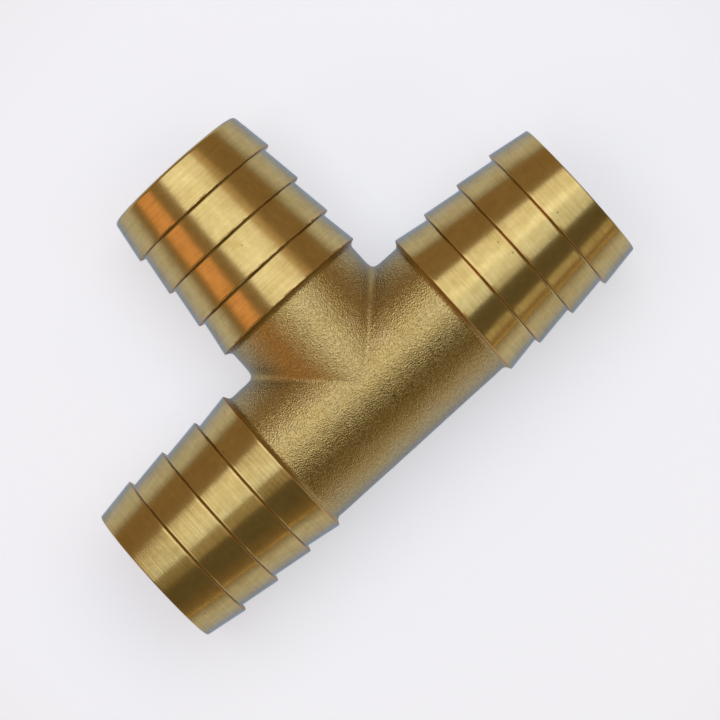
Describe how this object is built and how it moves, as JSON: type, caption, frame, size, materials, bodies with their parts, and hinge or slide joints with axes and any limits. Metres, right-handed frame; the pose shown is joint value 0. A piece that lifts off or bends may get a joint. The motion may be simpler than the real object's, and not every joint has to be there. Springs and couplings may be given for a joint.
{
  "type": "hose barb tee",
  "caption": "One-piece brass tee that joins three lengths of 25 mm hose, with a machined barbed tail on each end of the run and on the branch.",
  "frame": {"origin": "the crossing of the run's axis and the branch's axis", "axes": "+X along the run, +Y along the branch towards its open end, +Z square to both, up when the tee lies flat"},
  "size_m": [0.09, 0.0586, 0.0272],
  "materials": {
    "brass": "forged and shot blasted barrel, turned barbs"
  },
  "bodies": {
    "root": {"hose_barb_tee": "brass"}
  },
  "joints": []
}
